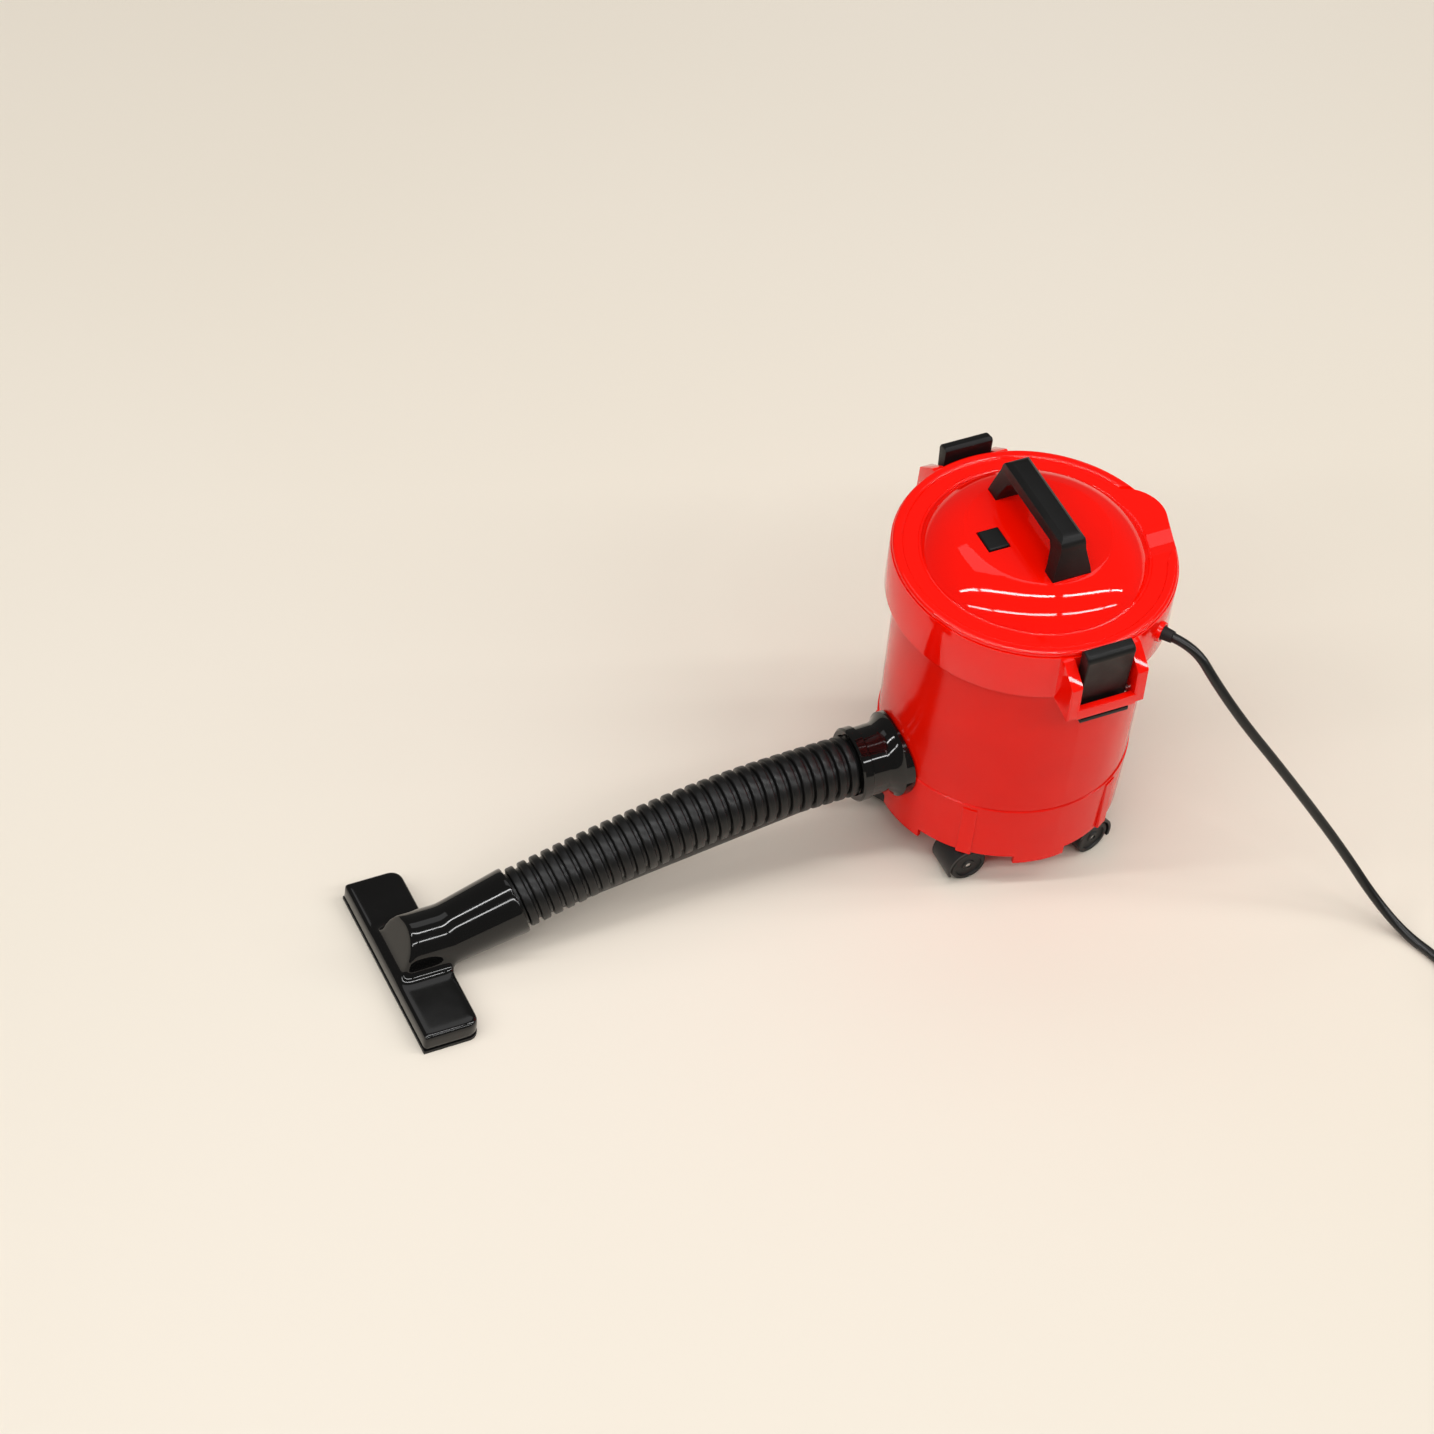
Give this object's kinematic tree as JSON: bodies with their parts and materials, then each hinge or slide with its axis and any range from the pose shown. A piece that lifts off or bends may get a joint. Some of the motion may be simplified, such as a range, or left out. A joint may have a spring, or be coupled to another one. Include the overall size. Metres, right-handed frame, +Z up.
{
  "type": "drum vacuum cleaner",
  "caption": "Miniature desktop drum vacuum cleaner with lift-off motor head, handle, latches, casters, ribbed hose, flat nozzle and USB cord.",
  "frame": {"origin": "on the surface the cleaner stands on, under the drum's axis", "axes": "+Z up; -Y towards the nozzle along the hose; +X towards the right-hand latch"},
  "size_m": [0.146, 0.259, 0.0907],
  "materials": {
    "drum_red": "glossy red moulding, drum and base ring",
    "lid_red": "glossy red moulding, lid and band",
    "black_satin": "satin black",
    "black_gloss": "glossy black",
    "hose_black": "satin black flexible hose",
    "caster_grey": "satin dark grey",
    "roller_black": "satin black",
    "steel": "bright",
    "zinc": "satin",
    "grey_plastic": "matt grey moulding",
    "foam": "open-cell foam",
    "rubber_black": "matt black",
    "cord_black": "satin black jacket",
    "lead_red": "insulated wire",
    "tongue_white": "matt white insulator with contacts"
  },
  "bodies": {
    "tank": {"tank_shell": "drum_red", "base_ring": "drum_red", "base_screws": "zinc", "usb_cord": "cord_black", "usb_cord_coil": "cord_black", "usb_cord_tail": "cord_black", "usb_plug_body": "rubber_black", "usb_plug_shell": "steel", "usb_plug_tongue": "tongue_white"},
    "head": {"head_band": "lid_red", "lid": "lid_red", "exhaust_grille": "black_satin", "handle": "black_satin", "handle_screws": "zinc", "lid_screws": "zinc", "switch_housing": "black_satin", "latch_pins": "steel", "motor_plate": "grey_plastic", "plate_gasket": "rubber_black", "motor_bracket": "zinc", "motor_screws": "zinc", "motor_can": "zinc", "motor_endcap": "black_satin", "fan_housing": "grey_plastic", "filter_cage": "grey_plastic", "filter_foam": "foam", "filter_retainer": "grey_plastic", "lead_wires": "lead_red", "cord_strain_relief": "rubber_black"},
    "switch": {"switch_button": "black_satin"},
    "fan": {"impeller": "grey_plastic", "motor_shaft": "steel"},
    "latch_right": {"latch_lever_right": "black_satin"},
    "latch_left": {"latch_lever_left": "black_satin"},
    "hose": {"hose_collar": "black_gloss", "hose_tube": "hose_black"},
    "nozzle": {"nozzle_body": "black_gloss", "nozzle_sole": "black_satin"},
    "caster_1": {"caster_hood_1": "caster_grey", "caster_axle_1": "steel"},
    "rollers_1": {"caster_rollers_1": "roller_black"},
    "caster_2": {"caster_hood_2": "caster_grey", "caster_axle_2": "steel"},
    "rollers_2": {"caster_rollers_2": "roller_black"},
    "caster_3": {"caster_hood_3": "caster_grey", "caster_axle_3": "steel"},
    "rollers_3": {"caster_rollers_3": "roller_black"},
    "caster_4": {"caster_hood_4": "caster_grey", "caster_axle_4": "steel"},
    "rollers_4": {"caster_rollers_4": "roller_black"},
    "caster_5": {"caster_hood_5": "caster_grey", "caster_axle_5": "steel"},
    "rollers_5": {"caster_rollers_5": "roller_black"}
  },
  "joints": [
    {"name": "head_lift", "type": "slide", "parent": "tank", "child": "head", "axis": [0, 0, 1], "range_m": [0, 0.042]},
    {"name": "switch_press", "type": "slide", "parent": "head", "child": "switch", "axis": [0, 0, -1], "range_m": [0, 0.0008], "stiffness_N_per_m": 400},
    {"name": "fan_spin", "type": "hinge", "parent": "head", "child": "fan", "pos_m": [0, 0, 0.045], "axis": [0, 0, 1], "continuous": true},
    {"name": "latch_right_open", "type": "hinge", "parent": "head", "child": "latch_right", "pos_m": [0.0319, 0, 0.0634], "axis": [0, 1, 0], "range_deg": [0, 22]},
    {"name": "latch_left_open", "type": "hinge", "parent": "head", "child": "latch_left", "pos_m": [-0.0319, 0, 0.0634], "axis": [0, -1, 0], "range_deg": [0, 22]},
    {"name": "hose_pull_out", "type": "slide", "parent": "tank", "child": "hose", "axis": [0, -1, 0], "range_m": [0, 0.012]},
    {"name": "nozzle_swivel", "type": "hinge", "parent": "hose", "child": "nozzle", "pos_m": [0.0003, -0.1185, 0.0102], "axis": [0.0066, -0.9605, -0.2782], "range_deg": [-90, 90]},
    {"name": "caster_1_swivel", "type": "hinge", "parent": "tank", "child": "caster_1", "pos_m": [0.01672, -0.01506, 0.012], "axis": [0, 0, 1], "continuous": true},
    {"name": "caster_1_roll", "type": "hinge", "parent": "caster_1", "child": "rollers_1", "pos_m": [0.01672, -0.01606, 0.0041], "axis": [1, 0, 0], "continuous": true},
    {"name": "caster_2_swivel", "type": "hinge", "parent": "tank", "child": "caster_2", "pos_m": [0.01949, 0.01125, 0.012], "axis": [0, 0, 1], "continuous": true},
    {"name": "caster_2_roll", "type": "hinge", "parent": "caster_2", "child": "rollers_2", "pos_m": [0.01923, 0.01222, 0.0041], "axis": [-0.9659, -0.2588, 0], "continuous": true},
    {"name": "caster_3_swivel", "type": "hinge", "parent": "tank", "child": "caster_3", "pos_m": [-0.00468, 0.02201, 0.012], "axis": [0, 0, 1], "continuous": true},
    {"name": "caster_3_roll", "type": "hinge", "parent": "caster_3", "child": "rollers_3", "pos_m": [-0.00554, 0.02251, 0.0041], "axis": [-0.5, -0.866, 0], "continuous": true},
    {"name": "caster_4_swivel", "type": "hinge", "parent": "tank", "child": "caster_4", "pos_m": [-0.02238, 0.00235, 0.012], "axis": [0, 0, 1], "continuous": true},
    {"name": "caster_4_roll", "type": "hinge", "parent": "caster_4", "child": "rollers_4", "pos_m": [-0.02332, 0.00201, 0.0041], "axis": [0.342, -0.9397, 0], "continuous": true},
    {"name": "caster_5_swivel", "type": "hinge", "parent": "tank", "child": "caster_5", "pos_m": [-0.00915, -0.02055, 0.012], "axis": [0, 0, 1], "continuous": true},
    {"name": "caster_5_roll", "type": "hinge", "parent": "caster_5", "child": "rollers_5", "pos_m": [-0.00865, -0.02142, 0.0041], "axis": [0.866, 0.5, 0], "continuous": true}
  ]
}
